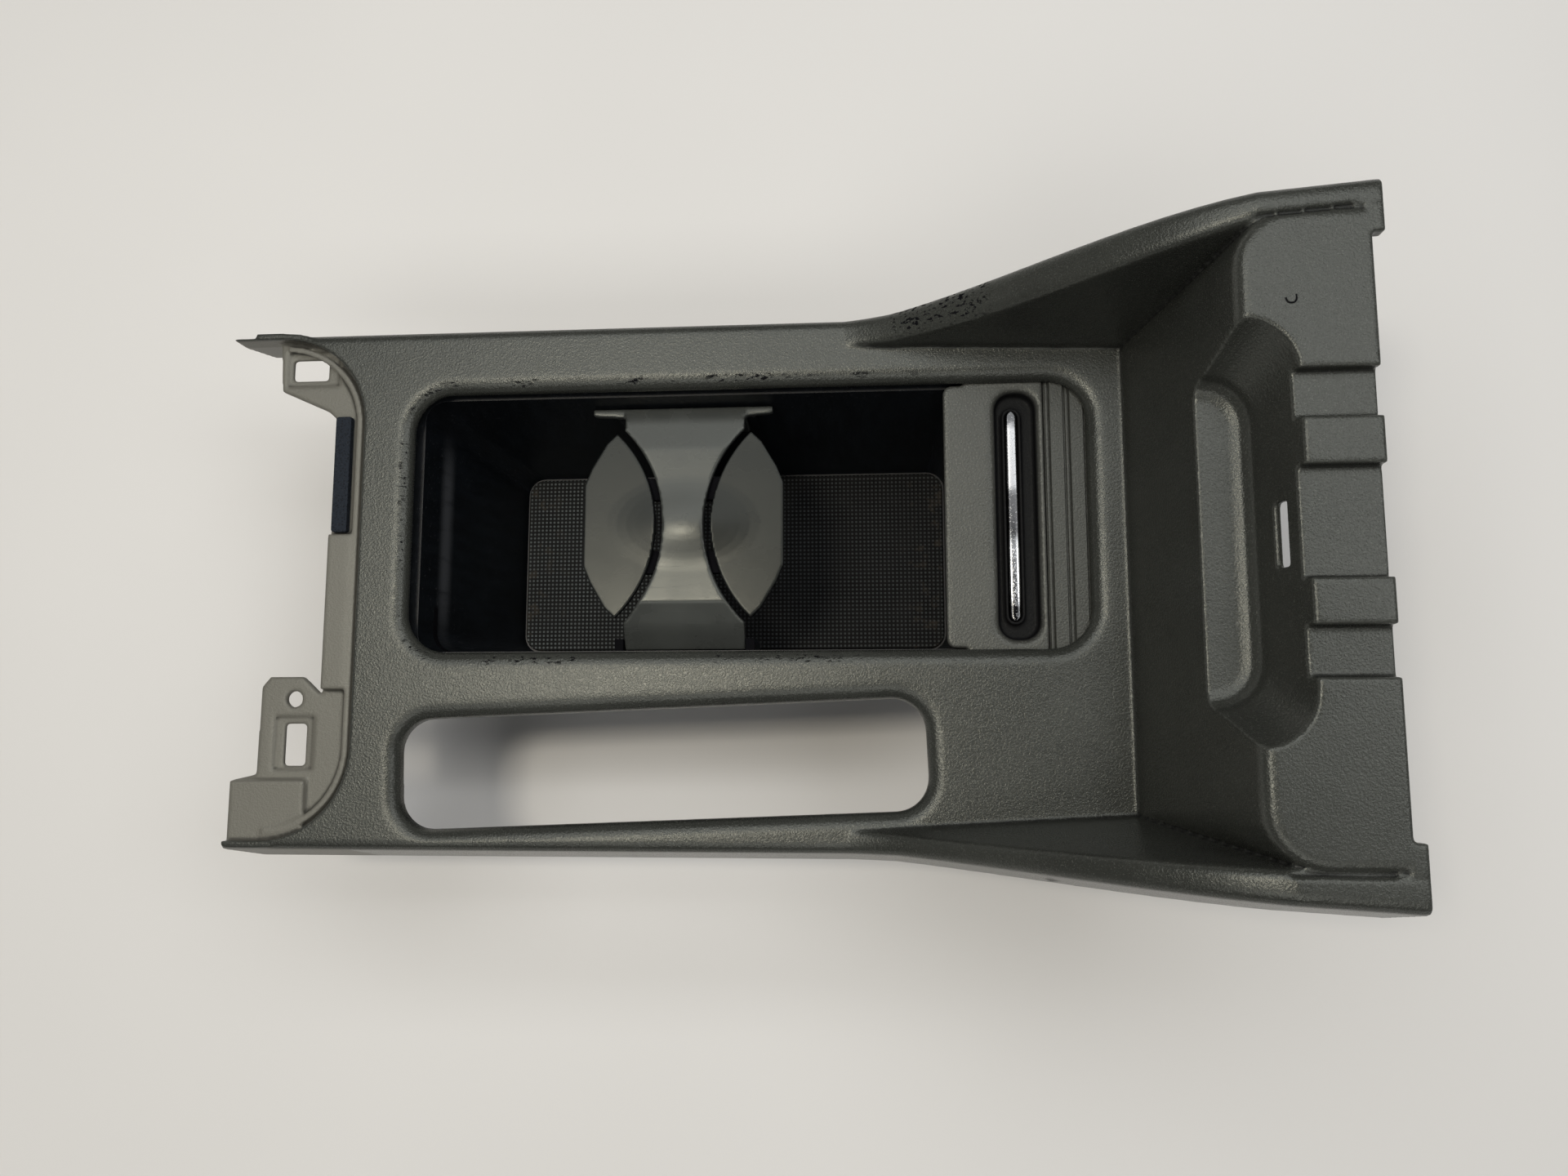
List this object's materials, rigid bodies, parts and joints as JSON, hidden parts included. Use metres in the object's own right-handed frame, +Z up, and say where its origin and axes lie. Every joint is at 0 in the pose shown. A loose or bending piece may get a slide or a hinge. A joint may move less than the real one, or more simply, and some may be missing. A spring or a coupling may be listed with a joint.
{
  "type": "car console cup holder",
  "caption": "Centre console insert with a sprung cup holder, a roller shutter on a curved track, a hand brake slot and a raised rear tray.",
  "frame": {"origin": "middle of the outline in plan, at the level of the lowest point", "axes": "+X towards the rear of the car along the console, +Y towards the passenger's side, +Z up"},
  "size_m": [0.365, 0.2054, 0.1601],
  "materials": {
    "panel_plastic": "warm grey moulded plastic with a fine leather grain, edges lightly scuffed",
    "box_plastic": "black moulded plastic, plain inner walls",
    "screw_steel": "zinc plated",
    "rubber_mat": "soft dark rubber with fine dots, dusty",
    "foam": "dark closed-cell foam strip",
    "clip_steel": "spring steel, dull",
    "bridge_plastic": "grey plastic, satin",
    "flap_plastic": "grey plastic, smooth satin",
    "pin_steel": "turned steel",
    "spring_steel": "spring wire",
    "handle_plastic": "dark plastic, satin",
    "satin_chrome": "satin chrome strip",
    "slat_plastic": "dark slats on a flexible backing"
  },
  "bodies": {
    "console": {"console_panel": "panel_plastic", "cup_box": "box_plastic", "track_cover": "box_plastic", "box_screws": "screw_steel", "floor_mat": "rubber_mat", "foam_strip": "foam", "panel_clips": "clip_steel", "divider_bridge": "bridge_plastic", "flap_pins": "pin_steel", "spring_front": "spring_steel", "spring_rear": "spring_steel"},
    "front_flap": {"flap_front": "flap_plastic"},
    "rear_flap": {"flap_rear": "flap_plastic"},
    "shutter_door": {"shutter_handle": "handle_plastic", "handle_strip": "satin_chrome", "lead_slats": "slat_plastic"},
    "bend_slat_1_body": {"bend_slat_1": "slat_plastic"},
    "bend_slat_2_body": {"bend_slat_2": "slat_plastic"},
    "bend_slat_3_body": {"bend_slat_3": "slat_plastic"},
    "rear_slats_body": {"rear_slats": "slat_plastic"},
    "bend_slat_4_body": {"bend_slat_4": "slat_plastic"},
    "bend_slat_5_body": {"bend_slat_5": "slat_plastic"},
    "bend_slat_6_body": {"bend_slat_6": "slat_plastic"},
    "under_slats_body": {"under_slats": "slat_plastic"}
  },
  "joints": [
    {"name": "front_flap_hinge", "type": "hinge", "parent": "console", "child": "front_flap", "pos_m": [-0.0275, 0.0205, 0.07068], "axis": [0, -1, 0], "range_deg": [0, 70], "stiffness_Nm_per_rad": 0.02, "springref_deg": -22.92, "deforming": ["spring_front"]},
    {"name": "rear_flap_hinge", "type": "hinge", "parent": "console", "child": "rear_flap", "pos_m": [-0.0183, 0.0205, 0.07068], "axis": [0, 1, 0], "range_deg": [0, 70], "stiffness_Nm_per_rad": 0.02, "springref_deg": -22.92, "deforming": ["spring_rear"]},
    {"name": "shutter_slide", "type": "slide", "parent": "console", "child": "shutter_door", "axis": [-1, 0, 0], "range_m": [0, 0.181]},
    {"name": "bend_slat_1_turn", "type": "hinge", "parent": "console", "child": "bend_slat_1_body", "pos_m": [0.0298, 0.0205, -0.37159], "axis": [0, -1, 0], "range_deg": [0, 22.5], "deforming": ["bend_slat_1"]},
    {"name": "bend_slat_2_turn", "type": "hinge", "parent": "console", "child": "bend_slat_2_body", "pos_m": [0.0331, 0.0205, -0.13576], "axis": [0, -1, 0], "range_deg": [0, 45], "deforming": ["bend_slat_2"]},
    {"name": "bend_slat_3_turn", "type": "hinge", "parent": "console", "child": "bend_slat_3_body", "pos_m": [0.0364, 0.0205, -0.05384], "axis": [0, -1, 0], "range_deg": [0, 67.5], "deforming": ["bend_slat_3"]},
    {"name": "rear_slats_turn", "type": "hinge", "parent": "console", "child": "rear_slats_body", "pos_m": [0.0397, 0.0205, -0.01051], "axis": [0, -1, 0], "range_deg": [0, 90], "deforming": ["rear_slats"]},
    {"name": "bend_slat_4_turn", "type": "hinge", "parent": "console", "child": "bend_slat_4_body", "pos_m": [0.05067, 0.0205, 0.00968], "axis": [0, -1, 0], "range_deg": [0, 112.5], "deforming": ["bend_slat_4"]},
    {"name": "bend_slat_5_turn", "type": "hinge", "parent": "console", "child": "bend_slat_5_body", "pos_m": [0.05983, 0.0205, 0.02397], "axis": [0, -1, 0], "range_deg": [0, 135], "deforming": ["bend_slat_5"]},
    {"name": "bend_slat_6_turn", "type": "hinge", "parent": "console", "child": "bend_slat_6_body", "pos_m": [0.0681, 0.0205, 0.03488], "axis": [0, -1, 0], "range_deg": [0, 157.5], "deforming": ["bend_slat_6"]},
    {"name": "under_slats_turn", "type": "hinge", "parent": "console", "child": "under_slats_body", "pos_m": [0.076, 0.0205, 0.04369], "axis": [0, -1, 0], "range_deg": [0, 180], "deforming": ["under_slats"]}
  ],
  "couplings": [
    {"joint": "bend_slat_1_turn", "follows": "shutter_slide", "rad_per_m": 2.1696},
    {"joint": "bend_slat_2_turn", "follows": "shutter_slide", "rad_per_m": 4.3392},
    {"joint": "bend_slat_3_turn", "follows": "shutter_slide", "rad_per_m": 6.5088},
    {"joint": "rear_slats_turn", "follows": "shutter_slide", "rad_per_m": 8.6784},
    {"joint": "bend_slat_4_turn", "follows": "shutter_slide", "rad_per_m": 10.848},
    {"joint": "bend_slat_5_turn", "follows": "shutter_slide", "rad_per_m": 13.018},
    {"joint": "bend_slat_6_turn", "follows": "shutter_slide", "rad_per_m": 15.187},
    {"joint": "under_slats_turn", "follows": "shutter_slide", "rad_per_m": 17.357}
  ]
}
